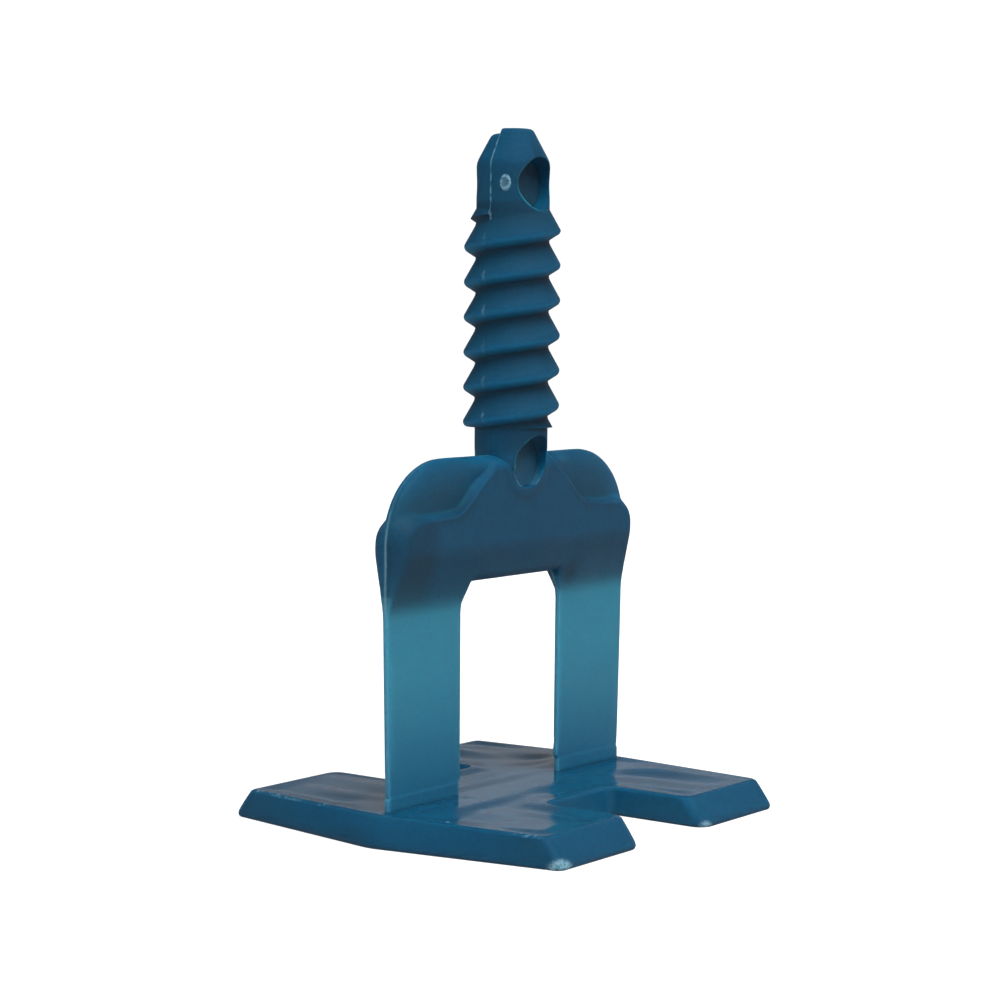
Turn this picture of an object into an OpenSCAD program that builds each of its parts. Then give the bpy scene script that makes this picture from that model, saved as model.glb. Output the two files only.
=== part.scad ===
// Tile leveling clip: one moulded piece, in millimetres, +Z up.
// The origin is the centre of the underside of the base plate.
// X runs across the two legs, Y through the thickness of the clip.
// Both faces of the clip, -Y and +Y, are mirror images, apart from the tip,
// where the +Y half stands a little lower than the -Y half.

/* [Base plate] */
// Thickness of the base plate
base_t = 3.0; // [2:0.1:5]
// Half length in X at the ends of the arms, on the underside
arm_x_low = 19.1; // [14:0.1:26]
// Half length in X at the legs, on the underside
mid_x_low = 22.6; // [16:0.1:28]
// Half length in Y of the underside
arm_y_low = 20.4; // [14:0.1:26]
// Half length in X at the ends of the arms, on the top face
arm_x_top = 18.9; // [14:0.1:26]
// Half length in X at the legs, on the top face
mid_x_top = 20.8; // [16:0.1:28]
// Half length in Y of the top face
arm_y_top = 18.7; // [14:0.1:26]
// Radius of the upright corners of the plate
corner_r = 1.5; // [0.5:0.1:4]
// Half width of each slot between two arms
slot_half = 5.6; // [4:0.1:8]
// Distance in Y from the clip's plane to the closed end of a slot
slot_start = 8.9; // [4:0.1:12]
// Radius in the closed corners of a slot
slot_r = 1.0; // [0.5:0.1:5]
// Radius at the open corners of a slot
mouth_r = 2.0; // [0.5:0.1:4]
// Height of the slanted land along the lower edge
foot_h = 0.5; // [0.1:0.1:1]

/* [Legs] */
// Half distance between the legs at their top
leg_in = 8.5; // [6:0.1:12]
// Outer half width at the top of the legs
leg_out = 20.1; // [15:0.1:26]
// Outer half width just above the break line
leg_out_low = 19.7; // [15:0.1:26]
// Thickness of the legs
leg_t = 0.6; // [0.3:0.05:2]
// Thickness left at the break line
break_t = 0.34; // [0.2:0.02:1]
// Height of the break line above the underside of the plate
break_z = 4.5; // [3.5:0.1:8]
// Thickness of the root strip under the break line
foot_t = 0.9; // [0.5:0.1:2]
// Height at which the legs begin to thicken into the bar
leg_top = 22.2; // [15:0.1:35]

/* [Head] */
// Height of the top of the opening between the legs
opening_z = 24.6; // [18:0.1:38]
// Half width of the top of the opening
opening_half = 7.4; // [4:0.1:11]
// Thickness of the bar and the gusset
bar_t = 4.1; // [2:0.1:7]
// Height at which the bar reaches its full thickness
bar_full_z = 28.0; // [24:0.1:34]
// Height of the top edge of the bar
bar_top = 31.6; // [28:0.1:36]
// Half width of the gusset where it leaves the bar
gusset_low = 11.0; // [6:0.1:16]
// Half width of the gusset at its top
gusset_high = 5.0; // [3:0.1:9]
// Thickness of the rounded shoulders
shoulder_t = 2.5; // [1:0.1:5]
// Radius of the shoulders, seen from the front
shoulder_r = 8.4; // [4:0.1:12]
// Height of the top of the shoulders
head_top = 37.1; // [34:0.1:42]

/* [Stem and thread] */
// Radius of the stem between the threads
stem_r = 3.75; // [2:0.05:6]
// Outer radius of the thread
thread_r = 4.9; // [3:0.05:8]
// Rise of the thread in one turn
pitch = 3.55; // [1:0.05:6]
// Height at which the thread starts
thread_low = 39.85; // [38:0.05:45]
// Height at which the thread ends
thread_high = 62.15; // [50:0.05:66]
// Height of one crest on the +X side
crest_z = 39.13; // [36:0.01:43]
// Overall height of the clip
total_h = 70.0; // [60:0.1:80]
// Radius of the flat tip
tip_r = 1.85; // [0.5:0.05:3]
// How much lower the +Y half of the tip is
tip_step = 0.45; // [0:0.05:1]
// Radius of the round recesses in both faces of the stem
recess_r = 2.65; // [1:0.05:3.2]
// Height of the centre of the lower recess
recess_low_z = 36.4; // [34:0.1:38]
// Height of the centre of the upper recess
recess_high_z = 64.4; // [60:0.1:68]
// Thickness of the web left between two recesses
web_t = 2.7; // [1:0.1:5]

/* [Hidden] */
$fn = 72;
blue = [0.10, 0.38, 0.55];
edge = leg_t / 2;                 // half thickness where the head's faces meet at the outline
hb = bar_t / 2;
hs = shoulder_t / 2;
cx = leg_out - 0.05 - shoulder_r; // centre of each shoulder's circle
cz = head_top - shoulder_r;
sections = 40;                    // thread sections in one turn
shaft_top = 65.2;                 // the cylindrical part of the stem ends here

// half of an ellipse quarter: points from the outline (edge) up to the full half thickness
function roll(len, half, n = 7) =
    [for (i = [0:n]) let (a = 90 * i / n)
        [len * (1 - cos(a)), edge + (half - edge) * sin(a)]];

function reversed(v) = [for (i = [len(v) - 1:-1:0]) v[i]];
function flip(v) = [for (p = reversed(v)) [-p[0], p[1]]];

// an upright post with slanted ends, used for the corners of the base plate
module post(x, y, z0, h, r, low, high) {
    translate([x, y, z0]) {
        cylinder(h = max(low, 0.01), r1 = r - low * 0.5, r2 = r, $fn = 32);
        translate([0, 0, max(low, 0.01)])
            cylinder(h = h - max(low, 0.01), r1 = r, r2 = r - high, $fn = 32);
    }
}

// one of the four arms of the base plate, in the +X +Y quarter
module arm() {
    hull() {
        post(arm_x_low - corner_r, arm_y_low - corner_r, 0, foot_h, corner_r, foot_h, 0);
        post(slot_half + mouth_r, arm_y_low - mouth_r, 0, foot_h, mouth_r, foot_h, 0);
        post(mid_x_low - corner_r, 0, 0, foot_h, corner_r, foot_h, 0);
        post(slot_half + 0.5, 0, 0, foot_h, 0.5, 0, 0);
        post(arm_x_top - corner_r, arm_y_top - corner_r, base_t - 0.2, 0.2, corner_r, 0, 0.15);
        post(slot_half + mouth_r, arm_y_top - mouth_r, base_t - 0.2, 0.2, mouth_r, 0, 0.15);
        post(mid_x_top - corner_r, 0, base_t - 0.2, 0.2, corner_r, 0, 0.15);
        post(slot_half + 0.5, 0, base_t - 0.2, 0.2, 0.5, 0, 0);
    }
}

// the middle of the plate, with the rounded ends of both slots
module plate_middle() {
    fillet = [for (i = [0:8]) let (a = 90 * i / 8)
        [slot_half - slot_r + slot_r * sin(a), slot_start + slot_r - slot_r * cos(a)]];
    right = concat(fillet, [[slot_half + 2, slot_start + slot_r]]);
    outline = concat(
        right,
        [for (p = reversed(right)) [p[0], -p[1]]],
        [for (p = right) [-p[0], -p[1]]],
        [for (p = reversed(right)) [-p[0], p[1]]]);
    linear_extrude(height = base_t) polygon(outline);
}

module base_plate() {
    color(blue)
    union() {
        plate_middle();
        for (mx = [0, 1], my = [0, 1])
            mirror([mx, 0, 0]) mirror([0, my, 0]) arm();
    }
}

// legs, bar and gusset: three crossed profiles give the taper in every direction
module legs_and_bar() {
    bar_end = [for (i = [0:8]) let (a = 90 * i / 8)
        [leg_out - 3.1 + 3.1 * cos(a), bar_top - 2.6 + 2.6 * sin(a)]];
    half_front = concat(
        [[opening_half, opening_z], [leg_in, leg_top], [leg_in - 0.05, break_z + 2.3],
         [leg_in + 0.2, break_z], [leg_in, break_z - 0.2], [leg_in, base_t - 0.5],
         [leg_out_low - 0.1, base_t - 0.5], [leg_out_low - 0.1, break_z - 0.2],
         [leg_out_low - 0.4, break_z], [leg_out_low, break_z + 2.3], [leg_out, leg_top]],
        bar_end,
        [[gusset_low, bar_top], [gusset_high, head_top - 0.7]]);
    front = concat(half_front, flip(half_front));
    half_side = [
        [foot_t / 2, base_t - 0.6], [foot_t / 2, break_z - 0.2], [break_t / 2, break_z],
        [edge, break_z + 2.1], [edge, leg_top], [hb, bar_full_z], [hb, head_top - 1.4],
        [hb - 0.6, head_top - 0.6]];
    side = concat(half_side, flip(half_side));
    end_roll = [for (p = roll(1.7, hb)) [leg_out - p[0], p[1]]];
    quarter = reversed(end_roll);
    plan = concat(
        quarter,
        [for (p = reversed(quarter)) [p[0], -p[1]]],
        [for (p = quarter) [-p[0], -p[1]]],
        [for (p = reversed(quarter)) [-p[0], p[1]]]);
    color(blue)
    intersection() {
        rotate([90, 0, 0]) linear_extrude(height = 12, center = true) polygon(front);
        rotate([90, 0, 90]) linear_extrude(height = 60, center = true) polygon(side);
        translate([0, 0, 1]) linear_extrude(height = 40) polygon(plan);
    }
}

// the thinner rounded shoulders beside and above the gusset
module shoulders() {
    rim = [for (p = roll(2.2, hs)) [shoulder_r - p[0], p[1]]];
    half_lens = concat([for (p = reversed(rim)) p], [for (p = rim) [p[0], -p[1]]]);
    lens = concat([[0, -hs], [0, hs]], half_lens);
    color(blue) {
        for (m = [0, 1]) mirror([m, 0, 0])
            translate([cx, 0, cz]) rotate([90, 0, 0])
                rotate_extrude(angle = 90) polygon(lens);
        rotate([90, 0, 90]) linear_extrude(height = 2 * cx, center = true)
            polygon([for (p = lens) [p[1], cz + p[0]]]);
    }
}

// the smooth stem, its tip in two halves, and the rounded end in front of the gusset
function tip(step) = [
    [0, shaft_top], [stem_r, shaft_top], [stem_r, 66.1 - step], [stem_r - 0.3, 66.9 - step],
    [tip_r + 0.12, total_h - 0.3 - step], [tip_r - 0.2, total_h - step], [0, total_h - step]];

module stem() {
    color(blue) {
        rotate_extrude() polygon([
            [0, 34.4], [2.2, 34.4], [stem_r, 36.0], [stem_r, shaft_top], [0, shaft_top]]);
        rotate([0, 0, 180]) rotate_extrude(angle = 180) polygon(tip(0));
        rotate_extrude(angle = 180) polygon(tip(tip_step));
        intersection() {
            translate([0, 0, recess_low_z]) rotate([90, 0, 0])
                cylinder(h = bar_t + 0.3, r = stem_r, center = true);
            translate([-6, -4, 30]) cube([12, 8, recess_low_z - 0.3 - 30]);
        }
    }
}

// the ridge of a single-start right-hand thread, swept along its helix
module thread() {
    inner = stem_r - 0.4;               // the hidden walls of the ridge end here
    foot = stem_r - 0.07;
    low = 0.83 / 1.05;                  // slope of the lower flank
    up = 1.83 / 1.03;                   // slope of the upper flank
    z_low = -0.14 - low * (thread_r - 0.1 - foot);
    z_up = 0.32 + up * (thread_r - 0.12 - foot);
    profile = [
        [inner, z_low], [foot, z_low], [thread_r - 0.1, -0.14], [thread_r, -0.03],
        [thread_r, 0.08], [thread_r - 0.12, 0.32], [foot, z_up], [inner, z_up]];
    n = len(profile);
    first = ceil((thread_low - 3.2 - crest_z) / pitch * sections);
    last = floor((thread_high + 1.4 - crest_z) / pitch * sections);
    count = last - first;
    pts = [for (i = [first:last]) let (a = 360 * i / sections, z = crest_z + pitch * i / sections)
        for (p = profile) [p[0] * cos(a), p[0] * sin(a), z + p[1]]];
    sides = [for (i = [0:count - 1], j = [0:n - 1])
        let (a = i * n + j, b = i * n + (j + 1) % n, c = a + n, d = b + n)
        each [[a, b, c], [b, d, c]]];
    start = [for (j = [1:n - 2]) [0, j + 1, j]];
    end = [for (j = [1:n - 2]) [count * n, count * n + j, count * n + j + 1]];
    envelope_slope = 2.1 / 1.12;
    color(blue)
    intersection() {
        polyhedron(points = pts, faces = concat(sides, start, end));
        rotate_extrude() polygon([
            [0, thread_low], [6, thread_low],
            [6, thread_high - (6 - stem_r) * envelope_slope],
            [stem_r - 0.8, thread_high + 0.8 * envelope_slope],
            [0, thread_high + 0.8 * envelope_slope]]);
    }
}

// round recesses on both faces of the stem, at its foot and under its tip
module recesses() {
    for (z = [recess_low_z, recess_high_z], s = [0, 180])
        rotate([0, 0, s]) translate([0, -web_t / 2, z]) rotate([90, 0, 0])
            cylinder(h = 8, r = recess_r);
}

module leveling_clip() {
    color(blue)
    union() {
        base_plate();
        difference() {
            union() {
                legs_and_bar();
                shoulders();
                stem();
            }
            recesses();
        }
        thread();
    }
}

leveling_clip();
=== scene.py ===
import math

import bmesh
import bpy
import numpy as np
from mathutils import Matrix, Vector
from mathutils.geometry import delaunay_2d_cdt


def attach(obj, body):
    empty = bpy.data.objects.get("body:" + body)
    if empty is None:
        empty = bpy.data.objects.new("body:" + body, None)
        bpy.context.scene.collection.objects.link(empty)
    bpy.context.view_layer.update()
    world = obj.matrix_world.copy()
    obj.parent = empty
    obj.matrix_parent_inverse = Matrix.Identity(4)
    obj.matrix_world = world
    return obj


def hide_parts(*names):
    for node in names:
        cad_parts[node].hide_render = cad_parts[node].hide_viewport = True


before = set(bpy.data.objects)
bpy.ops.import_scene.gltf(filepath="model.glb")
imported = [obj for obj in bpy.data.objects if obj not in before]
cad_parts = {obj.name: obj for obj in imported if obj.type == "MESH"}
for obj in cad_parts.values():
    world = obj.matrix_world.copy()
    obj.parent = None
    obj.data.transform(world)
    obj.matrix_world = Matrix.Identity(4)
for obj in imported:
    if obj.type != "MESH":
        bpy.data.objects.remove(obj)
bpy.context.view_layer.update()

# Everything below is worked out in millimetres in the row frame (+Z up the stem, X across the legs,
# Y through the thickness), and the finished mesh is scaled to metres.

rng = np.random.default_rng(11)

# ------------------------------------------------------------------ sizes
STEM_R = 3.75
REAR_R = 3.70            # the +Y half of the mould left its side of the stem a hair smaller
THREAD_R = 4.9
PITCH = 3.55
CREST_Z = 39.13
THREAD_LOW, THREAD_HIGH = 39.85, 61.9
TOTAL_H = 70.0
TIP_STEP = 0.45
RECESS_R, RECESS_FLOOR = 2.65, 1.35
RECESS_Z = (36.4, 64.4)
BASE_T = 3.0
SLOT_HALF, SLOT_START = 5.6, 8.9
LEG_HALF = 0.30          # half the thickness of a leg
RIM_HALF = 0.22          # half thickness where the two faces of the head meet
BAR_HALF, SHOULDER_HALF = 2.14, 1.36
WEDGE_LOW, WEDGE_HIGH = 22.4, 28.0


# ------------------------------------------------------------------ small helpers
def smooth(t):
    t = np.clip(t, 0.0, 1.0)
    return t * t * (3 - 2 * t)


def ramp(t, soft=0.12):
    """0 to 1 over t = 0..1, with both bends rounded over soft on each side."""
    t = np.asarray(t, float)

    def bend(v):
        return np.where(v <= -soft, 0.0, np.where(v >= soft, v, (v + soft) ** 2 / (4 * soft)))

    return bend(t) - bend(t - 1)


def swell(t):
    """A quarter of an ellipse: 0 with an upright tangent at t = 0, 1 and flat from t = 1."""
    t = np.clip(t, 0.0, 1.0)
    return np.sqrt(np.clip(1 - (1 - t) ** 2, 0, 1))


def value_noise(p, cell, seed):
    """Smooth noise from -1 to 1 for an (n, 3) array of points, the same in every run."""
    q = np.asarray(p, float) / cell
    base = np.floor(q).astype(np.int64)
    f = q - base
    f = f * f * (3 - 2 * f)
    total = np.zeros(len(q))
    for dx in (0, 1):
        for dy in (0, 1):
            for dz in (0, 1):
                k = (base[:, 0] + dx) * 73856093 ^ (base[:, 1] + dy) * 19349663 ^ (base[:, 2] + dz) * 83492791 ^ seed
                k = (k ^ (k >> 13)) * 1274126177 & 0x7FFFFFFF
                v = (k % 10007) / 5003.5 - 1
                w = (f[:, 0] if dx else 1 - f[:, 0]) * (f[:, 1] if dy else 1 - f[:, 1]) * (f[:, 2] if dz else 1 - f[:, 2])
                total += v * w
    return total


def rounded(points, radii, steps):
    """A closed polygon with its corners turned into arcs of steps + 1 points each. A radius of 0 keeps the corner."""
    out = []
    n = len(points)
    for i in range(n):
        p = np.array(points[i], float)
        r, m = radii[i], steps[i]
        if r <= 0 or m < 1:
            out.append(p)
            continue
        a = np.array(points[i - 1], float) - p
        b = np.array(points[(i + 1) % n], float) - p
        a /= np.linalg.norm(a)
        b /= np.linalg.norm(b)
        half = math.acos(max(-1.0, min(1.0, float(a @ b)))) / 2
        back = r / math.tan(half)
        centre = p + (a + b) / np.linalg.norm(a + b) * (r / math.sin(half))
        start, end = p + a * back - centre, p + b * back - centre
        t0, t1 = math.atan2(start[1], start[0]), math.atan2(end[1], end[0])
        turn = (t1 - t0 + math.pi) % (2 * math.pi) - math.pi
        for k in range(m + 1):
            t = t0 + turn * k / m
            out.append(centre + r * np.array([math.cos(t), math.sin(t)]))
    return np.array(out)


def divided(points, spacing):
    """A closed polygon with every edge cut into equal pieces no longer than spacing(midpoint)."""
    out = []
    n = len(points)
    for i in range(n):
        a, b = points[i], points[(i + 1) % n]
        m = max(1, int(math.ceil(np.linalg.norm(b - a) / spacing((a + b) / 2))))
        for k in range(m):
            out.append(a + (b - a) * k / m)
    return np.array(out)


def outward(points):
    """Unit normals of a closed counter-clockwise polygon, pointing out."""
    nxt, prv = np.roll(points, -1, 0), np.roll(points, 1, 0)
    e1, e2 = points - prv, nxt - points
    e1 /= np.maximum(np.linalg.norm(e1, axis=1, keepdims=True), 1e-12)
    e2 /= np.maximum(np.linalg.norm(e2, axis=1, keepdims=True), 1e-12)
    t = e1 + e2
    t /= np.maximum(np.linalg.norm(t, axis=1, keepdims=True), 1e-12)
    return np.stack([t[:, 1], -t[:, 0]], 1)


def to_line(p, line, closed=True):
    """Distance of each point to a polyline."""
    a = np.asarray(line, float)
    b = np.roll(a, -1, 0) if closed else a[1:]
    a = a if closed else a[:-1]
    ab = b - a
    l2 = np.maximum((ab ** 2).sum(1), 1e-18)
    out = np.empty(len(p))
    for s in range(0, len(p), 4000):
        q = p[s:s + 4000]
        t = np.clip(((q[:, None, :] - a[None]) * ab[None]).sum(2) / l2[None], 0, 1)
        d = q[:, None, :] - (a[None] + t[..., None] * ab[None])
        out[s:s + 4000] = np.sqrt((d ** 2).sum(2).min(1))
    return out


def in_polygon(p, poly):
    x, y = p[:, 0], p[:, 1]
    inside = np.zeros(len(p), bool)
    a, b = np.asarray(poly), np.roll(np.asarray(poly), -1, 0)
    for (x1, y1), (x2, y2) in zip(a, b):
        if y1 == y2:
            continue
        cross = (y1 > y) != (y2 > y)
        inside ^= cross & (x < (x2 - x1) * (y - y1) / (y2 - y1) + x1)
    return inside


def thinned(groups):
    """Points from several lists, each with its least distance to those kept before it."""
    cell, grid, kept = 0.25, {}, []
    for pts, least in groups:
        reach = int(math.ceil(least / cell))
        for x, y in pts:
            i, j = int(math.floor(x / cell)), int(math.floor(y / cell))
            near = False
            for u in range(i - reach, i + reach + 1):
                for v in range(j - reach, j + reach + 1):
                    for qx, qy in grid.get((u, v), ()):
                        if (qx - x) ** 2 + (qy - y) ** 2 < least * least:
                            near = True
                            break
                    if near:
                        break
                if near:
                    break
            if not near:
                grid.setdefault((i, j), []).append((x, y))
                kept.append((x, y))
    return kept


def triangulated(border, inner):
    """Triangles of the region inside border, through the inner points too. The border's points keep their numbers."""
    pts = [Vector((float(x), float(y))) for x, y in list(border) + list(inner)]
    n = len(border)
    edges = [(k, (k + 1) % n) for k in range(n)]
    verts, _, faces, orig, _, _ = delaunay_2d_cdt(pts, edges, [], 0, 1e-6, True)
    first = {}
    for i, o in enumerate(orig):
        for k in o:
            first[k] = i
    order = [first[k] for k in range(n)]
    taken = set(order)
    rest = [i for i in range(len(verts)) if i not in taken]
    new = {v: k for k, v in enumerate(order + rest)}
    co = np.array([tuple(verts[i]) for i in order + rest], float)
    co[:n] = np.asarray(border, float)
    tri = np.array([[new[v] for v in f] for f in faces])
    a, b, c = co[tri[:, 0]], co[tri[:, 1]], co[tri[:, 2]]
    area = np.abs((b[:, 0] - a[:, 0]) * (c[:, 1] - a[:, 1]) - (b[:, 1] - a[:, 1]) * (c[:, 0] - a[:, 0])) / 2
    keep = in_polygon(co[tri].mean(1), np.asarray(border, float)) & ~((area < 2e-5) & (tri < n).all(1))
    tri = tri[keep]
    used = np.zeros(len(co), bool)
    used[tri.ravel()] = True
    used[:n] = True
    again = np.cumsum(used) - 1
    return co[used], [tuple(int(again[v]) for v in f) for f in tri]


def solid(name, verts, faces):
    """A closed mesh object, faces turned outward."""
    mesh = bpy.data.meshes.new(name)
    mesh.from_pydata([tuple(float(c) for c in v) for v in verts], [], faces)
    bm = bmesh.new()
    bm.from_mesh(mesh)
    bmesh.ops.remove_doubles(bm, verts=bm.verts, dist=1e-5)
    bmesh.ops.dissolve_degenerate(bm, edges=bm.edges, dist=1e-6)
    bmesh.ops.recalc_face_normals(bm, faces=bm.faces)
    if bm.calc_volume(signed=True) < 0:
        bmesh.ops.reverse_faces(bm, faces=bm.faces)
    open_edges = sum(not e.is_manifold for e in bm.edges)
    if open_edges:
        print("NOTE:", name, "has", open_edges, "edges that don't close")
    bmesh.ops.triangulate(bm, faces=bm.faces)
    bm.to_mesh(mesh)
    bm.free()
    ob = bpy.data.objects.new(name, mesh)
    bpy.context.scene.collection.objects.link(ob)
    return ob


def joined(a, b, how):
    """a united with b, or cut by it. b is used up."""
    mod = a.modifiers.new("join", "BOOLEAN")
    mod.operation = how
    mod.solver = "MANIFOLD"
    mod.object = b
    bpy.context.view_layer.update()
    dg = bpy.context.evaluated_depsgraph_get()
    mesh = bpy.data.meshes.new_from_object(a.evaluated_get(dg))
    a.modifiers.clear()
    old = a.data
    a.data = mesh
    bpy.data.meshes.remove(old)
    data = b.data
    bpy.data.objects.remove(b)
    bpy.data.meshes.remove(data)
    return a


def revolved(name, profile, segments=144, start=0.0, sweep=360.0):
    """The (r, z) profile, from the axis to the axis, turned about Z. A part turn is closed by its two flat sides."""
    full = abs(sweep - 360) < 1e-6
    count = segments if full else max(2, int(segments * sweep / 360)) + 1
    verts, rows = [], []
    for r, z in profile:
        if r < 1e-9:
            verts.append((0, 0, z))
            rows.append([len(verts) - 1] * count)
        else:
            row = []
            for k in range(count):
                t = math.radians(start + sweep * k / (count if full else count - 1))
                verts.append((r * math.cos(t), r * math.sin(t), z))
                row.append(len(verts) - 1)
            rows.append(row)
    faces = []
    for lo, hi in zip(rows, rows[1:]):
        for k in range(count if full else count - 1):
            m = (k + 1) % count
            f = [lo[k], lo[m], hi[m], hi[k]]
            f = [v for i, v in enumerate(f) if v != f[i - 1]]
            if len(f) >= 3:
                faces.append(f)
    if not full:
        for k in (0, count - 1):
            ring = []
            for row in rows:
                if not ring or ring[-1] != row[k]:
                    ring.append(row[k])
            faces.append(ring)
    return solid(name, verts, faces)


# ------------------------------------------------------------------ base plate
def plate_loop(s, inset):
    """The plate's outline at s = 0 (underside) to 1 (top), with the same points at every height."""
    s = s ** 1.1 if s > 0 else s             # the flanks are barely convex
    mid, ax, ay = 22.6 + (21.0 - 22.6) * s, 19.1 + (19.05 - 19.1) * s, 20.4 + (18.75 - 20.4) * s
    h, k = SLOT_HALF, SLOT_START
    poly = [(mid, 0), (ax, ay), (h, ay), (h, k), (-h, k), (-h, ay), (-ax, ay),
            (-mid, 0), (-ax, -ay), (-h, -ay), (-h, -k), (h, -k), (h, -ay), (ax, -ay)]
    rad = [6.0, 1.0, 1.6, 1.0, 1.0, 1.6, 1.0, 6.0, 1.0, 1.6, 1.0, 1.0, 1.6, 1.0]
    seg = [6, 12, 12, 14, 14, 12, 12, 6, 12, 12, 14, 14, 12, 12]
    corners = rounded(poly, rad, seg)
    # the straight stretches get the same number of points at each height
    out, at = [], 0
    pieces = [22, 16, 14, 12, 14, 16, 22] * 2
    for i, m in enumerate(seg):
        arc = corners[at:at + m + 1]
        at += m + 1
        out += list(arc)
        a, b = arc[-1], corners[at % len(corners)]
        for q in range(1, pieces[i]):
            out.append(a + (b - a) * q / pieces[i])
    out = np.array(out)
    return out - outward(out) * inset if inset else out


def plate_waves(p):
    """The sink marks and flow waves of the moulded top face, in millimetres: along the arms, and across between the legs."""
    flat = np.zeros(len(p))
    x, y = np.abs(p[:, 0]), np.abs(p[:, 1])
    arm = smooth((y - 3.0) / 5.0)
    along = 0.240 * value_noise(np.column_stack([p[:, 0] / 4.3, p[:, 1] / 20.0, flat]), 1.0, 5)
    across = 0.165 * value_noise(np.column_stack([p[:, 0] / 18.0, p[:, 1] / 3.7, flat]), 1.0, 12)
    w = along * arm + across * (1 - arm)
    w -= w.mean()
    # the middle of each arm has sunk, and so has the face beside the roots of the legs
    w -= 0.05 * arm * np.exp(-((x - 12.4) / 3.4) ** 2)
    w -= 0.03 * np.exp(-((y - 1.6) / 1.3) ** 2) * ramp((x - 7.8) / 1.5) * ramp((20.4 - x) / 1.2)
    return w


def base_plate():
    levels = []
    for k in range(6):                       # rounded lower edge
        a = math.radians(90 * k / 5)
        levels.append((0.38 * (1 - math.cos(a)), 0.30 * (1 - math.sin(a))))
    for k in range(1, 10):
        levels.append((0.38 + (BASE_T - 0.30 - 0.38) * k / 9, 0.0))
    for k in range(1, 9):                    # soft upper edge
        a = math.radians(90 * k / 8)
        levels.append((BASE_T - 0.30 + 0.30 * math.sin(a), 0.42 * (1 - math.cos(a))))
    verts, faces, rows = [], [], []
    for z, inset in levels:
        s = min(max((z - 0.5) / 2.3, 0), 1.08)
        loop = plate_loop(s, inset)
        rows.append(range(len(verts), len(verts) + len(loop)))
        body = np.column_stack([loop, np.full(len(loop), z)])
        if 0.5 < z < BASE_T - 0.35:           # the moulded flanks aren't quite flat
            push = 0.02 * value_noise(body, 5.0, 33) + 0.008 * value_noise(body, 2.0, 35)
            body[:, :2] += outward(loop) * push[:, None]
        verts += [tuple(v) for v in body]
    for lo, hi in zip(rows, rows[1:]):
        n = len(lo)
        for k in range(n):
            faces.append((lo[k], lo[(k + 1) % n], hi[(k + 1) % n], hi[k]))
    # top face: rows that follow the edge, then an even field of points
    top = np.array([verts[i][:2] for i in rows[-1]])
    groups = [(top, 0.0)]
    for d in (0.14, 0.32, 0.54, 0.8, 1.1):
        groups.append((top - outward(top) * d, 0.17 if d < 0.5 else 0.24))
    step = 0.36
    gx, gy = np.meshgrid(np.arange(-21, 21.01, step), np.arange(-19.5, 19.51, step * 0.866))
    gx = gx + (np.arange(len(gy)) % 2)[:, None] * step / 2
    field = np.column_stack([gx.ravel(), gy.ravel()])
    field = field[in_polygon(field, top)]
    field = field[to_line(field, top) > 0.5]
    groups.append((field, 0.25))
    kept = thinned(groups)[len(top):]
    kept = [q for q, ok in zip(kept, in_polygon(np.array(kept), top) & (to_line(np.array(kept), top) > 0.1)) if ok]
    co, tri = triangulated(top, kept)
    depth = to_line(co, top)
    lift = plate_waves(co) * smooth(depth / 2.2)
    lift -= 0.07 * (1 - np.exp(-depth / 1.0))    # the face sinks inside its edge
    index = {}
    for i in range(len(co)):
        if i < len(top):
            index[i] = rows[-1][i]
        else:
            verts.append((co[i][0], co[i][1], BASE_T + lift[i]))
            index[i] = len(verts) - 1
    faces += [tuple(index[v] for v in t) for t in tri]
    # underside: plain
    low = np.array([verts[i][:2] for i in rows[0]])
    co, tri = triangulated(low, [])
    faces += [tuple(rows[0][v] for v in reversed(t)) for t in tri]
    return solid("base", verts, faces)


# ------------------------------------------------------------------ legs and head
def half_outline():
    """The parting line of legs and head on the +X side: outer edge from the plate up, and inner edge."""
    arc = [(11.62 + 8.48 * math.cos(t), 28.67 + 8.43 * math.sin(t)) for t in np.radians(np.linspace(2, 88, 22))]
    outer = [(19.72, 2.3), (19.70, 4.15), (19.52, 4.42), (19.60, 4.85), (19.70, 6.8), (19.98, 17.0), (20.1, 22.2), (20.07, 27.4)]
    outer += arc + [(10.6, 37.1), (5.0, 37.1)]
    inner = [(8.62, 2.3), (8.60, 4.2), (8.66, 4.42), (8.40, 4.8), (8.36, 5.5), (8.46, 6.3), (8.45, 8.0), (8.5, 21.6), (8.42, 22.5), (7.48, 24.35), (7.25, 24.6)]
    return outer, inner


OUTER, INNER = half_outline()
HEAD_LINE = np.array(OUTER + [(-x, z) for x, z in reversed(OUTER)] + [(-x, z) for x, z in INNER] + [(x, z) for x, z in reversed(INNER)])
# Upper edge of the bar and gusset: ridge line on the faces of the head
CORNER = [(16.9 + 3.3 * math.sin(t), 28.4 + 3.2 * math.cos(t)) for t in np.radians(np.linspace(8, 90, 10))]
RIDGE_HALF = [(4.9, 37.6), (5.3, 36.3), (5.75, 35.8), (7.2, 34.7), (9.5, 32.7), (10.3, 32.1), (11.3, 31.8), (13.2, 31.68)] + CORNER
RIDGE = np.array([(-x, z) for x, z in reversed(RIDGE_HALF)] + RIDGE_HALF)
RIDGE_AREA = np.array([(-21.5, 20.0), (21.5, 20.0)] + RIDGE_HALF[::-1] + [(-x, z) for x, z in RIDGE_HALF] + [])


def wedge(z):
    """Half thickness of the bar by height, before its edges roll off."""
    t = (z - WEDGE_LOW) / (WEDGE_HIGH - WEDGE_LOW)
    return LEG_HALF + (BAR_HALF - LEG_HALF) * ramp(t, 0.14)


def leg_half(z):
    """Half thickness of a leg by height: root strip, break line, and the leg itself."""
    return np.interp(z, [0, 4.28, 4.42, 4.54, 4.75, 5.4, 100], [0.318, 0.316, 0.308, 0.288, 0.289, LEG_HALF, LEG_HALF])


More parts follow.
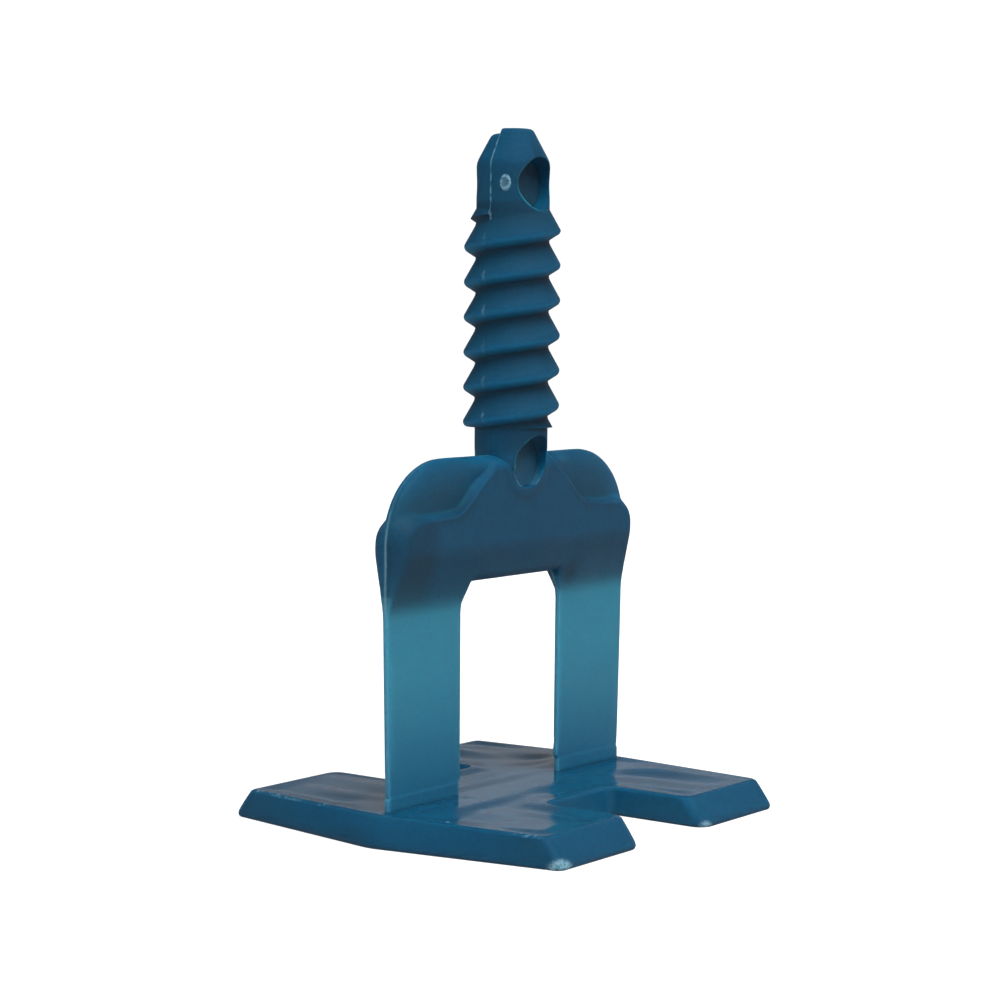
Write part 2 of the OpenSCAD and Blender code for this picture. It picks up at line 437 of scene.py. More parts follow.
def thickness(p):
    """(half thickness, the same before the edges roll off, how far the roll-off has come) at points (x, z)."""
    x, z = np.abs(p[:, 0]), p[:, 1]
    edge = to_line(p, HEAD_LINE)
    side = to_line(p, RIDGE, closed=False) * np.where(in_polygon(p, RIDGE_AREA), 1, -1)
    width = 0.36 + 0.12 * smooth((x - 10.2) / 1.3) + 0.7 * smooth((x - 15.5) / 2.6)
    up = ramp(side / width + 0.5, 0.26)
    head = z > 26.5
    # shoulders: thickest in the middle of the pocket, sinking a little to the foot of the bar and gusset
    pocket = SHOULDER_HALF - 0.24 * np.exp(-(side / 2.0) ** 2)
    low = RIM_HALF + (pocket - RIM_HALF) * (0.55 * swell(edge / 2.3) + 0.45 * swell(edge / 5.5))
    body = wedge(z)
    reach = 1.42 * np.clip((body - RIM_HALF) / (BAR_HALF - RIM_HALF), 0.04, 1) ** np.where(z > 28.5, 0.0, 0.9)
    high = RIM_HALF + (body - RIM_HALF) * swell(edge / np.maximum(reach, 0.13))
    # the ridge fades where gusset and shoulder run together beside the stem, and below the ends of the bar
    up = up + (1 - up) * 0.55 * smooth((z - 34.0) / 2.6) * smooth((9.6 - x) / 3.8)
    up = 1 - (1 - up) * smooth((z - 23.2) / 4.2)
    head = z > 23.2
    t = np.where(head, low + (high - low) * up, high)
    before = np.where(head, pocket + (body - pocket) * up, body)
    rolled = np.where(head, edge / (4.0 + (reach - 4.0) * up), edge / np.maximum(reach, 0.13))
    legs = z < WEDGE_LOW - 1
    half = leg_half(z)
    rim = np.minimum(RIM_HALF, half - 0.06)
    t = np.where(legs, rim + (half - rim) * swell(edge / 0.13), t)
    before = np.where(legs, half, before)
    rolled = np.where(legs, edge / 0.13, rolled)
    # the foot of the stem ends in a low round boss on the faces of the gusset
    boss = ramp((3.78 - np.hypot(x, z - RECESS_Z[0])) / 0.55 + 0.3, 0.35) * (z < 36.6)
    t = t + 0.15 * boss
    return t, before, np.clip(rolled, 0, 1)


def legs_and_head():
    def spacing(m):
        z = m[1]
        return 0.12 if 4.0 < z < 5.2 else 0.30 if z > 20.5 else 0.55
    border = divided(HEAD_LINE, spacing)
    out = outward(border)
    groups = [(border, 0.0)]
    high = border[:, 1] > 21.8
    for d in (0.03, 0.09, 0.18, 0.30, 0.46, 0.66, 0.90, 1.18, 1.5, 1.9, 2.35, 2.85):
        q = border - out * d
        if d > 0.2:
            q = q[high]
        elif d > 0.05:
            q = np.vstack([q[high], (border - out * {0.09: 0.07, 0.18: 0.14}[d])[~high]])
        dist = to_line(q, border)
        groups.append((q[dist > 0.97 * d * (0.7 if d < 0.2 else 1)], max(0.025, min(0.16, d * 0.45))))
    ridge = divided(RIDGE, lambda m: 0.28)
    ridge = ridge[:-1]
    tang = outward(np.vstack([ridge]))
    for d in (0.0, 0.1, -0.1, 0.2, -0.2, 0.3, -0.3, 0.42, -0.42, 0.6, -0.6):
        q = ridge[2:-2] + tang[2:-2] * d
        q = q[in_polygon(q, border)]
        q = q[to_line(q, border) > 0.12]
        groups.append((q, 0.085))
    boss = [(r * math.cos(t), RECESS_Z[0] + r * math.sin(t)) for r in (3.45, 3.6, 3.75, 3.9, 4.05) for t in np.radians(np.arange(180, 361, 4))]
    groups.append((boss, 0.12))
    lines = [(s * x, z) for s in (-1, 1) for z in (2.6, 3.0, 3.4, 3.8, 4.1, 4.25, 4.31, 4.36, 4.42, 4.47, 4.51, 4.55, 4.64, 4.74, 4.9, 5.2, 5.7, 6.2, 6.6) for x in np.arange(8.6, 19.6, 0.5)]
    groups.append((lines, 0.05))
    gx, gy = np.meshgrid(np.arange(-20.3, 20.31, 0.36), np.arange(21.8, 37.2, 0.31))
    gx = gx + (np.arange(len(gy)) % 2)[:, None] * 0.18
    groups.append((np.column_stack([gx.ravel(), gy.ravel()]), 0.22))
    gx, gy = np.meshgrid(np.arange(-20.3, 20.31, 0.9), np.arange(7.2, 21.9, 0.8))
    groups.append((np.column_stack([gx.ravel(), gy.ravel()]), 0.5))
    kept = thinned(groups)[len(border):]
    pts = np.array(kept)
    ok = in_polygon(pts, border) & (to_line(pts, border) > 0.018)
    co, tri = triangulated(border, pts[ok])
    t, _, _ = thickness(co)
    n = len(border)
    rim = t[:n]
    verts = [(x, -h, z) for (x, z), h in zip(co, t)] + [(x, h, z) for (x, z), h in zip(co, t)]
    m = len(co)
    faces = [tuple(f) for f in tri] + [tuple(v + m for v in reversed(f)) for f in tri]
    # the narrow side between the faces, with the fine flash of the parting line in its middle
    bright = value_noise(np.column_stack([border, np.zeros(n)]), 1.3, 3)
    proud = np.where(border[:, 1] > 3.6, 0.045 + 0.02 * bright, 0.0)
    rows = [list(range(n))]
    for share, lift in ((-0.35, 0.0), (-0.14, 0.25), (0.0, 1.0), (0.14, 0.25), (0.35, 0.0)):
        start = len(verts)
        q = border + out * (proud * lift)[:, None]
        verts += [(q[i][0], rim[i] * share, q[i][1]) for i in range(n)]
        rows.append(list(range(start, start + n)))
    rows.append([i + m for i in range(n)])
    for a, b in zip(rows, rows[1:]):
        for k in range(n):
            k2 = (k + 1) % n
            faces.append((a[k], b[k], b[k2], a[k2]))
    return solid("legs_head", verts, faces)


# ------------------------------------------------------------------ stem, thread, tip
TIP = [(STEM_R, 66.2), (3.735, 66.44), (3.69, 66.66), (3.61, 66.88), (3.50, 67.12), (2.17, 69.60), (2.07, 69.76), (1.95, 69.89), (1.78, 69.97), (1.55, 70.0)]
TIP_REAR = [(REAR_R, 66.15), (3.685, 66.38), (3.63, 66.62), (3.55, 66.86), (3.43, 67.10), (2.42, 69.00), (2.30, 69.19), (2.15, 69.34), (1.95, 69.45), (1.7, 69.5)]


def stem_profile(radius, drop):
    lower = [(0, 34.0), (1.9, 34.0), (2.4, 34.3), (radius - 0.25, 35.55), (radius - 0.05, 35.85), (radius, 36.2)]
    middle = [(radius, z) for z in np.arange(37.0, 65.6, 0.6)]
    upper = TIP_REAR if drop else TIP
    top = upper[-1][1]
    return lower + middle + upper + [(0.7, top + 0.0), (0, top)]


# flanks of the thread about its crest: (r, z), with small fillets at the root and a rounded crest
def thread_section():
    low, up, tip = 0.62, 1.777, 0.50
    cr, cz = THREAD_R - tip, -0.03
    arc = [(cr + tip * math.cos(t), cz + tip * math.sin(t)) for t in np.linspace(math.atan2(-1 / low, 1), math.atan2(1 / up, 1), 15)]
    foot_low, foot_up = arc[0][1] - low * (arc[0][0] - STEM_R), arc[-1][1] + up * (arc[-1][0] - STEM_R)
    return [(3.30, foot_low - 0.10), (3.74, foot_low - 0.10), (3.765, foot_low - 0.04), (3.80, foot_low + 0.015), (3.87, foot_low + 0.07)] + arc + [
        (4.35, foot_up - up * 0.60), (3.93, foot_up - up * 0.18), (3.86, foot_up - 0.185), (3.80, foot_up - 0.055), (3.765, foot_up + 0.06), (3.74, foot_up + 0.17),
        (3.30, foot_up + 0.17)]


def thread():
    sec = thread_section()
    per_turn, n = 120, len(sec)
    first = int((THREAD_LOW - 3.4 - CREST_Z) / PITCH * per_turn)
    last = int(6.5 * per_turn)               # the last turn stops at the parting line
    verts, faces = [], []
    for i in range(first, last + 1):
        a = 2 * math.pi * i / per_turn
        z0 = CREST_Z + PITCH * i / per_turn
        for r, z in sec:
            verts.append((r * math.cos(a), r * math.sin(a), z0 + z))
    for i in range(last - first):
        for j in range(n):
            a, b = i * n + j, i * n + (j + 1) % n
            faces.append((a, a + n, b + n, b))
    faces.append(tuple(range(n)))
    faces.append(tuple((last - first) * n + j for j in reversed(range(n))))
    ridge = solid("thread", verts, faces)
    slope = 1.777
    env = revolved("envelope", [(0, THREAD_LOW), (4.6, THREAD_LOW), (6.2, THREAD_LOW + 0.2), (6.2, THREAD_HIGH - (6.2 - STEM_R) * slope),
                                (STEM_R - 1.2, THREAD_HIGH + 1.2 * slope), (0, THREAD_HIGH + 1.2 * slope)], 180)
    return joined(ridge, env, "INTERSECT")


def side_radius(z, side):
    """Radius of the stem with its thread at the parting line, on the -X (180) or +X (0) side."""
    sec = thread_section()
    crest = CREST_Z + (PITCH / 2 if side == 180 else 0)
    rel = (z - crest) % PITCH
    best = STEM_R
    pts = [(zz, rr) for rr, zz in sec if rr > 3.6]
    for off in (0, -PITCH):
        v = rel + off
        if pts[0][0] <= v <= pts[-1][0]:
            best = max(best, float(np.interp(v, [q[0] for q in pts], [q[1] for q in pts])))
    if z < THREAD_LOW or z > THREAD_HIGH:
        best = STEM_R
    elif z > THREAD_HIGH - 2.2:
        best = min(best, STEM_R + (THREAD_HIGH - z) / 1.777)
    if z > 66.2:
        best = float(np.interp(z, [q[1] for q in TIP], [q[0] for q in TIP]))
    return best


def flash(side):
    """The thin rib that the two halves of the mould left along one side of the stem."""
    sx = -1 if side == 180 else 1
    zs = np.arange(36.4, 69.4, 0.11)
    outer, inner = [], []
    for z in zs:
        r = side_radius(float(z), side)
        jag = value_noise(np.array([[sx * 3.0, 0, z]]), 0.5, 17)[0] + 0.7 * value_noise(np.array([[sx * 3.0, 0, z]]), 0.21, 19)[0]
        lift = 0.035 + 0.055 * jag
        if z < THREAD_HIGH - 0.8:
            lift = 0.008 + 0.016 * jag
        outer.append((sx * (r + lift), z))
        inner.append((sx * (r - 0.6), z))
    ring = outer + inner[::-1]
    n = len(ring)
    half = 0.045
    verts = [(x, -half, z) for x, z in ring] + [(x, half, z) for x, z in ring]
    faces = [(k, (k + 1) % n, (k + 1) % n + n, k + n) for k in range(n)]
    m = len(outer)
    for k in range(m - 1):                   # outer k faces inner k
        a, b, c, d = k, k + 1, n - 2 - k, n - 1 - k
        faces += [(a, b, c, d), (d + n, c + n, b + n, a + n)]
    return solid("flash", verts, faces)


def recess_cutter(z, sign):
    """A round pocket with a fillet round its floor and a little draft, cut from one face."""
    prof = [(0, RECESS_FLOOR), (2.4, RECESS_FLOOR), (2.54, RECESS_FLOOR + 0.02), (2.61, RECESS_FLOOR + 0.07), (2.64, RECESS_FLOOR + 0.2),
            (2.66, RECESS_FLOOR + 0.6), (2.74, RECESS_FLOOR + 2.6), (2.95, 7.0), (0, 7.0)]
    ob = revolved("cutter", prof, 96)
    turn = Matrix.Rotation(math.radians(90 if sign < 0 else -90), 4, "X")
    ob.data.transform(Matrix.Translation((0, 0, z)) @ turn)
    return ob


def gate_mark():
    """The rough stub left where the runner was twisted off the stem."""
    a0, zc = math.radians(204.5), 64.45
    rings = [(0.54, -0.25), (0.54, 0.01), (0.50, 0.07), (0.42, 0.10), (0.30, 0.06), (0.16, 0.02), (0.0, 0.01)]
    m = 22
    verts, rows = [(0, 0, -0.25)], []
    for r, h in rings[:-1]:
        row = []
        for k in range(m):
            t = 2 * math.pi * k / m
            u = value_noise(np.array([[math.cos(t) * 2, math.sin(t) * 2, r * 6]]), 0.8, 41)[0]
            rr = r * (1 + 0.10 * u)
            hh = h + (0.035 * u if h > 0 else 0)
            verts.append((rr * math.cos(t), 1.45 * rr * math.sin(t), hh))
            row.append(len(verts) - 1)
        rows.append(row)
    verts.append((0.05, 0.0, 0.02))
    top = len(verts) - 1
    faces = []
    for k in range(m):
        k2 = (k + 1) % m
        faces.append((0, rows[0][k2], rows[0][k]))
        faces.append((rows[-1][k], rows[-1][k2], top))
    for a, b in zip(rows, rows[1:]):
        for k in range(m):
            k2 = (k + 1) % m
            faces.append((a[k], a[k2], b[k2], b[k]))
    ob = solid("gate", verts, faces)
    out = Vector((math.cos(a0), math.sin(a0), 0))
    side = Vector((-math.sin(a0), math.cos(a0), 0))
    place = Matrix(((side.x, 0, out.x, out.x * (STEM_R - 0.02)), (side.y, 0, out.y, out.y * (STEM_R - 0.02)), (0, 1, 0, zc), (0, 0, 0, 1)))
    ob.data.transform(place)
    return ob


def stem():
    rod = revolved("rod", stem_profile(REAR_R, TIP_STEP), 144)
    front = revolved("front", stem_profile(STEM_R, 0.0), 144, start=180, sweep=180)
    rod = joined(rod, front, "UNION")
    rod = joined(rod, thread(), "UNION")
    for side in (180, 0):
        rod = joined(rod, flash(side), "UNION")
    return joined(rod, gate_mark(), "UNION")


# ------------------------------------------------------------------ one solid
clip = joined(base_plate(), legs_and_head(), "UNION")
clip = joined(clip, stem(), "UNION")
for zc in RECESS_Z:
    for sign in (-1, 1):
        clip = joined(clip, recess_cutter(zc, sign), "DIFFERENCE")
clip.name = "tile_clip"
clip.data.name = "tile_clip"

# merge the union's tiny edges, as far as the mesh stays closed
for merge, flat in ((0.001, 0.002), (0.001, 0.0012), (0.0006, 0.001), (0.0004, 0.0006), (0.0002, 0.0003), (0.00001, 0.00001)):
    bm = bmesh.new()
    bm.from_mesh(clip.data)
    bmesh.ops.remove_doubles(bm, verts=bm.verts, dist=merge)
    bmesh.ops.dissolve_degenerate(bm, edges=bm.edges, dist=flat)
    bmesh.ops.delete(bm, geom=[e for e in bm.edges if not e.link_faces], context="EDGES")
    bmesh.ops.delete(bm, geom=[v for v in bm.verts if not v.link_faces], context="VERTS")
    bmesh.ops.triangulate(bm, faces=bm.faces)
    gaps = sum(not e.is_manifold for e in bm.edges)
    print("clip:", len(bm.verts), "vertices,", len(bm.faces), "faces,", gaps, "open edges, merged at", merge, "volume", round(bm.calc_volume(), 1))
    if gaps == 0:
        break
    bm.free()
else:
    bm = bmesh.new()
    bm.from_mesh(clip.data)
bm.to_mesh(clip.data)
bm.free()

# Values that the material reads: painted glow where the wall is thin, on rounded rims and on the lower flanks of the
# thread, painted shade in hollows and on shaded sides, and a painted highlight along the flash of the parting line
co = np.empty(len(clip.data.vertices) * 3)
clip.data.vertices.foreach_get("co", co)
co = co.reshape(-1, 3)
X, Y, Z = co.T
R = np.hypot(X, Y)
xz = co[:, [0, 2]]
clip.data.update()
facing = np.empty(len(clip.data.vertices) * 3, np.float32)
clip.data.vertex_normals.foreach_get("vector", facing)
facing = facing.reshape(-1, 3)[:, 2]
on_top = (Z < 3.6) & (facing > 0.6)
in_head = (in_polygon(xz, HEAD_LINE) | (to_line(xz, HEAD_LINE) < 0.12)) & (np.abs(Y) < 2.5) & (Z > 3.02) & ~on_top & ~((R < 5.2) & (Z > 37.2))
half, before, rolled = thickness(xz)
extra = np.clip(before - LEG_HALF, 0, 9)
# painted glow: the thinner the wall of the head and legs, the lighter its teal, standing in for light passing through
# it; the glow is cut back in the inner corner where the bar meets the right leg, as painted shade
thin = np.where(in_head, (0.70 * np.exp(-4.6 * extra) + 0.34 * np.exp(-1.3 * extra) - 0.04) * (1 - 0.75 * np.exp(-((X - 9.4) / 1.5) ** 2 - ((Z - 24.2) / 1.3) ** 2)), 0.0)
# painted glow on the root strip of the legs, a little dimmer low down and lightest along its break line
root = in_head & (Z < 7)
thin = np.where(root, np.interp(Z, [3.0, 4.3, 4.4, 4.6, 7.0], [0.88, 0.90, 1.0, 0.95, 1.0]), thin)
# painted glow: the rolled-off rims of the head turn a brighter blue, standing in for light passing through the thin
# edges
rim = np.where(in_head & (Z > 21), 1 - rolled, 0.0)
screw = (Z > 39.7) & (Z < 62.3)
# painted glow on the crests of the thread
rim = np.where(screw & (R > 3.7), 0.15 * smooth((R - 4.25) / 0.9), rim)
turn = ((Z - CREST_Z - PITCH * (np.degrees(np.arctan2(Y, X)) % 360) / 360 + 1.3) % PITCH) - 1.3
# painted glow on the lower flanks of the thread's crests, standing in for light passing through them
under = np.where(screw & (R > 3.77), 0.90 * smooth((0.19 - turn) / 0.65), 0.0) * smooth((R - 4.10) / 0.50)
# painted shade in the roots of the thread, darkest next to the stem
painted_shade = np.where(screw, np.maximum(smooth((4.95 - R) / 0.95), 0.30), 0.0) * (1 - under)
# painted light on the -X side of the tip
rim = np.where((Z > 62.3) & (R > 1.5) & (X < 0.5), 0.45, rim)
across = 0.598 * X - 0.802 * Y
# painted shade on the tip, darker towards +X and -Y
painted_shade = np.where((Z > 62.3) & (R > 1.5), 0.36 * smooth((across + 2.8) / 2.0), painted_shade)
# painted shade on the foot of the stem, darker towards +X and -Y
painted_shade = np.where((Z > 37.3) & (Z <= 39.7) & (R < 4.2), 0.05 + 0.6 * smooth((across + 1.8) / 2.6), painted_shade)
hole = np.minimum(np.hypot(X, Z - RECESS_Z[0]), np.hypot(X, Z - RECESS_Z[1]))
# painted sheen: a greyer tint on the flat floors of the round pockets
pocket_light = ((hole < 2.66) & (np.abs(Y) < RECESS_FLOOR + 0.05)).astype(float)
wall = (hole < 2.76) & (np.abs(Y) > RECESS_FLOOR + 0.1) & (np.abs(Y) < 3.2) & (R < STEM_R - 0.02) & (Z > 34)
# painted light on the inner walls of the round pockets
under = np.where(wall, 0.30, under)
# the last stub of the thread gets no painted glow and a painted shade instead
nub = (Z > 60.9) & (Z < 62.6) & (R > 3.72) & (X < 0) & (Y > -0.1)
under, rim = np.where(nub, 0.0, under), np.where(nub, 0.0, rim)
# painted light on the walls of the slots, fading out towards the outer ends of the arms
slot_wall = (np.abs(X) < 6.4) & (np.abs(Y) > 8.6) & (Z > 0.2) & (Z < 2.78)
under = np.where(slot_wall, 0.18 * smooth((20.3 - np.abs(Y)) / 2.5), under)
# shade gathers in the corner of the shoulders, and where the bar meets the far leg
side = to_line(xz, RIDGE, closed=False) * np.where(in_polygon(xz, RIDGE_AREA), 1, -1)
low_in = np.where(in_head & (Z > 30) & (side < 0.3), (0.22 + 0.78 * np.exp(-np.clip(-side, 0, 9) / np.where(X > 0, 3.2, 2.4))) * smooth((np.abs(X) - 7.0) / 3.0) * smooth((17.5 - np.abs(X)) / 4.0), 0.0)
nook = np.where(in_head, np.exp(-((X - 9.4) / 1.5) ** 2 - ((Z - 24.4) / 1.15) ** 2), 0.0)
painted_shade = np.maximum(painted_shade, np.maximum(0.95 * low_in, 0.75 * nook))
painted_shade = np.where(nub, 0.7, painted_shade)
# painted shade on the lower part of the plate's -X flank
flank = (X < -17.0) & (Z < 2.9)
painted_shade = np.where(flank, (0.18 + 0.55 * np.exp(-((Y - 2.5) / 3.5) ** 2)) * smooth((2.6 - Z) / 2.0), painted_shade)
# painted shade in a thin band just below the ridge line over the bar and gusset
beam = np.where(in_head & (Z > 30), np.exp(-((side - 0.55) / 0.45) ** 2) * smooth((np.abs(X) - 6.5) / 2.5), 0.0)
painted_shade = np.maximum(painted_shade, 0.55 * beam)
# painted shade on the -X end of the bar's front face, which also loses most of its rim glow
corner = in_head & (X < -13.0) & (Z < 36.0) & (Y < 0) & (Z > 21)
painted_shade = np.where(corner, np.maximum(painted_shade, 0.75 * smooth((-X - 13.6) / 2.2) * smooth((36.0 - Z) / 4.0)), painted_shade)
rim = np.where(corner, rim * (1 - 0.6 * smooth((-X - 13.0) / 2.0)), rim)
# painted shade on the lip of the round pockets, with no glow there
brink = (np.abs(hole - 2.74) < 0.16) & (np.abs(Y) > 1.5) & (R > 3.0) & (Z > 33) & (X < 0.6)
under = np.where(brink, 0.0, under)
rim = np.where(brink, 0.0, rim)
painted_shade = np.where(brink, 1.0, painted_shade)
# painted light: in the lower pockets a lighter colour on the inner wall and, weaker, on the floor, against their shade
pocket_light = np.where(Z < 45, np.where(wall & (R < 3.0), 0.8, 0.45 * pocket_light), pocket_light)

# painted light along the side edges of the legs
leg_edge_glow = np.where(in_head & (Z < 24.0) & (Z > 3.05), np.exp(-to_line(xz, HEAD_LINE) / 0.16), 0.0)
# painted highlight along the flash of the parting line on the thread, the tip and the outline of the head
seam_highlight = np.where((np.abs(Y) < 0.12) & (Z > 36.0) & (R > 3.6), np.where(Z > 60.8, 1.0, np.where(R > 4.6, 0.6, 0.0)), 0.0)
seam_highlight = np.where((np.abs(Y) < 0.06) & (np.abs(Y) > 0.03) & (Z > 64.5) & (R > 1.2), 0.8, seam_highlight)
seam_highlight = np.where((np.abs(Y) < 0.1) & (Z > 5) & (Z < 37.3) & (to_line(xz, HEAD_LINE) < 0.12), np.clip((33.5 - Z) / 4, 0.15, 1.0) * np.clip((Z - 21.0) / 2, 0.25, 1), seam_highlight)
# nearness to the upper edge of the plate: 1 at the edge, 0 from 2 mm on
lip = np.where((Z > 2.4) & (Z < 3.05), 1 - np.clip(to_line(co[:, :2], plate_loop(1.0, 0.25)) / 2.0, 0, 1), 0.0)
# the moulded top of the plate, smoother than the rest
glaze = np.where((Z > 2.5) & (Z < 3.5), smooth((facing - 0.86) / 0.12), 0.0)
for name, values in (("lip", lip), ("glaze", glaze), ("thin", thin), ("rim", rim), ("leg_edge_glow", leg_edge_glow), ("seam_highlight", seam_highlight), ("under", under), ("painted_shade", painted_shade), ("pocket", pocket_light)):
    attribute = clip.data.attributes.new(name, "FLOAT", "POINT")
    attribute.data.foreach_set("value", np.clip(values, 0, 1).astype(np.float32))
clip.data.transform(Matrix.Scale(0.001, 4))

for poly in clip.data.polygons:
    poly.use_smooth = True
clip.data.update()
bm = bmesh.new()
bm.from_mesh(clip.data)
for e in bm.edges:
    e.smooth = len(e.link_faces) == 2 and e.calc_face_angle(0) < math.radians(38)
bm.to_mesh(clip.data)
bm.free()


# ------------------------------------------------------------------ material
class Tree:
    """Short names for making and linking shader nodes."""

    def __init__(self, material):
        material.use_nodes = True
        self.t = material.node_tree
        self.t.nodes.clear()

    def new(self, kind, **props):
        n = self.t.nodes.new(kind)
        for k, v in props.items():
            setattr(n, k, v)
        return n

    def put(self, socket, value):
        if hasattr(value, "is_output") or isinstance(value, bpy.types.NodeSocket):
            self.t.links.new(value, socket)
        else:
            socket.default_value = value

    def math(self, op, a, b=0.0, c=None, clamp=False):
        n = self.new("ShaderNodeMath", operation=op, use_clamp=clamp)
        self.put(n.inputs[0], a)
        self.put(n.inputs[1], b)
        if c is not None:
            self.put(n.inputs[2], c)
        return n.outputs[0]

    def noise(self, coords, scale, detail=2.0, rough=0.5, distortion=0.0):
        n = self.new("ShaderNodeTexNoise")
        self.put(n.inputs["Vector"], coords)
        self.put(n.inputs["Scale"], scale)
        self.put(n.inputs["Detail"], detail)
        self.put(n.inputs["Roughness"], rough)
        self.put(n.inputs["Distortion"], distortion)
        return n.outputs["Fac"]

    def range(self, v, a, b, lo=0.0, hi=1.0, kind="SMOOTHSTEP"):
        n = self.new("ShaderNodeMapRange", interpolation_type=kind)
        n.clamp = True
        self.put(n.inputs["Value"], v)
        for k, x in (("From Min", a), ("From Max", b), ("To Min", lo), ("To Max", hi)):
            n.inputs[k].default_value = x
        return n.outputs["Result"]

    def mix(self, fac, a, b, blend="MIX"):
        n = self.new("ShaderNodeMix", data_type="RGBA", blend_type=blend)
        n.clamp_factor = True
        self.put(n.inputs["Factor"], fac)
        self.put(n.inputs["A"], a)
        self.put(n.inputs["B"], b)
        return n.outputs["Result"]

    def near(self, coords, point, radius, squash=(1, 1, 1)):
        """1 at a point of the object, falling to 0 at radius (metres)."""
        sub = self.new("ShaderNodeVectorMath", operation="SUBTRACT")
        self.put(sub.inputs[0], coords)
        sub.inputs[1].default_value = point
        mul = self.new("ShaderNodeVectorMath", operation="MULTIPLY")
        self.put(mul.inputs[0], sub.outputs[0])
        mul.inputs[1].default_value = squash
        ln = self.new("ShaderNodeVectorMath", operation="LENGTH")
        self.put(ln.inputs[0], mul.outputs[0])
        return self.range(ln.outputs["Value"], 0.0, radius, 1.0, 0.0)


def lin(r, g, b):
    """Linear colour from 0-255 display values."""
    f = [(c / 255 / 12.92) if c / 255 <= 0.04045 else ((c / 255 + 0.055) / 1.055) ** 2.4 for c in (r, g, b)]
    return (*f, 1.0)


NAVY = (0.0030, 0.060, 0.124, 1.0)
BLUE = (0.0012, 0.082, 0.176, 1.0)
TEAL = (0.031, 0.218, 0.316, 1.0)
TEAL_SHADED = (0.012, 0.120, 0.215, 1.0)
TEAL_EDGE_GLOW = (0.090, 0.320, 0.430, 1.0)
PALE_HIGHLIGHT = (0.200, 0.380, 0.470, 1.0)

plastic = bpy.data.materials.new("clip_plastic")
T = Tree(plastic)
out = T.new("ShaderNodeOutputMaterial")
bsdf = T.new("ShaderNodeBsdfPrincipled")
T.put(out.inputs["Surface"], bsdf.outputs["BSDF"])
obj = T.new("ShaderNodeTexCoord").outputs["Object"]
sep = T.new("ShaderNodeSeparateXYZ")
T.put(sep.inputs[0], obj)
a_thin_glow = T.new("ShaderNodeAttribute", attribute_name="thin").outputs["Fac"]
a_rim_glow = T.new("ShaderNodeAttribute", attribute_name="rim").outputs["Fac"]
a_leg_edge_glow = T.new("ShaderNodeAttribute", attribute_name="leg_edge_glow").outputs["Fac"]
a_seam_highlight = T.new("ShaderNodeAttribute", attribute_name="seam_highlight").outputs["Fac"]
a_under = T.new("ShaderNodeAttribute", attribute_name="under").outputs["Fac"]
a_painted_shade = T.new("ShaderNodeAttribute", attribute_name="painted_shade").outputs["Fac"]
a_pocket_light = T.new("ShaderNodeAttribute", attribute_name="pocket").outputs["Fac"]

cloud = T.noise(obj, 130.0, 3.0, 0.55)
flow = T.noise(obj, 420.0, 4.0, 0.6, 0.4)
grain = T.noise(obj, 2600.0, 2.0, 0.6)

top_face = T.new("ShaderNodeAttribute", attribute_name="glaze").outputs["Fac"]
even = T.math("SUBTRACT", 1.0, T.math("MULTIPLY", top_face, 0.92))
# painted glow: brighter blue on rims and crests
colour = T.mix(T.math("MULTIPLY", a_rim_glow, 0.62), NAVY, BLUE)
colour = T.mix(T.math("MULTIPLY", even, T.range(cloud, 0.35, 0.7, 0.0, 0.30)), colour, (0.0060, 0.068, 0.128, 1.0))
colour = T.mix(T.math("MULTIPLY", even, T.range(flow, 0.45, 0.75, 0.0, 0.22)), colour, (0.0015, 0.048, 0.108, 1.0))
# painted shade: darker blue in roots, hollows and shaded sides
colour = T.mix(T.math("MULTIPLY", a_painted_shade, 0.82), colour, (0.0045, 0.036, 0.070, 1.0))
# painted glow: lighter blue on the crests' lower flanks and on pocket and slot walls
colour = T.mix(a_under, colour, (0.0030, 0.172, 0.332, 1.0))
# painted sheen: greyer floors in the upper pockets
colour = T.mix(T.math("MULTIPLY", a_pocket_light, T.range(sep.outputs["Z"], 0.0445, 0.0455)), colour, (0.0150, 0.064, 0.112, 1.0))
# painted light: lighter floors and walls in the lower pockets
colour = T.mix(T.math("MULTIPLY", a_pocket_light, T.range(sep.outputs["Z"], 0.0445, 0.0455, 1.0, 0.0)), colour, (0.0330, 0.125, 0.205, 1.0))
# painted shade: the legs' teal darkens towards the plate
leg_colour = T.mix(T.range(sep.outputs["Z"], 0.0030, 0.0175, 1.0, 0.0), TEAL, TEAL_SHADED)
# painted glow: lighter teal on thin walls
colour = T.mix(a_thin_glow, colour, leg_colour)
# painted light: lighter teal on the legs' side edges
colour = T.mix(T.math("MULTIPLY", a_leg_edge_glow, 0.30), colour, TEAL_EDGE_GLOW)
# painted highlight on the parting-line flash, broken into pieces by noise, mostly whole below 36 mm and above 66.8 mm
broken = T.math("MAXIMUM", T.range(T.noise(obj, 1500.0, 2.0, 0.6), 0.36, 0.60, 0.10, 1.0), T.range(sep.outputs["Z"], 0.0360, 0.0372, 0.85, 0.0))
broken = T.math("MAXIMUM", broken, T.range(sep.outputs["Z"], 0.0655, 0.0668, 0.0, 0.9))
colour = T.mix(T.math("MULTIPLY", T.math("MULTIPLY", a_seam_highlight, broken), 0.50), colour, PALE_HIGHLIGHT)
calm = T.math("MULTIPLY", even, T.math("SUBTRACT", 1.0, T.math("MULTIPLY", a_thin_glow, 0.5)))
shade = T.math("ADD", 1.0, T.math("MULTIPLY", calm, T.range(grain, 0.25, 0.75, -0.13, 0.13, "LINEAR")))
grey = T.new("ShaderNodeCombineColor")
for k in range(3):
    T.put(grey.inputs[k], shade)
colour = T.mix(1.0, colour, grey.outputs[0], "MULTIPLY")

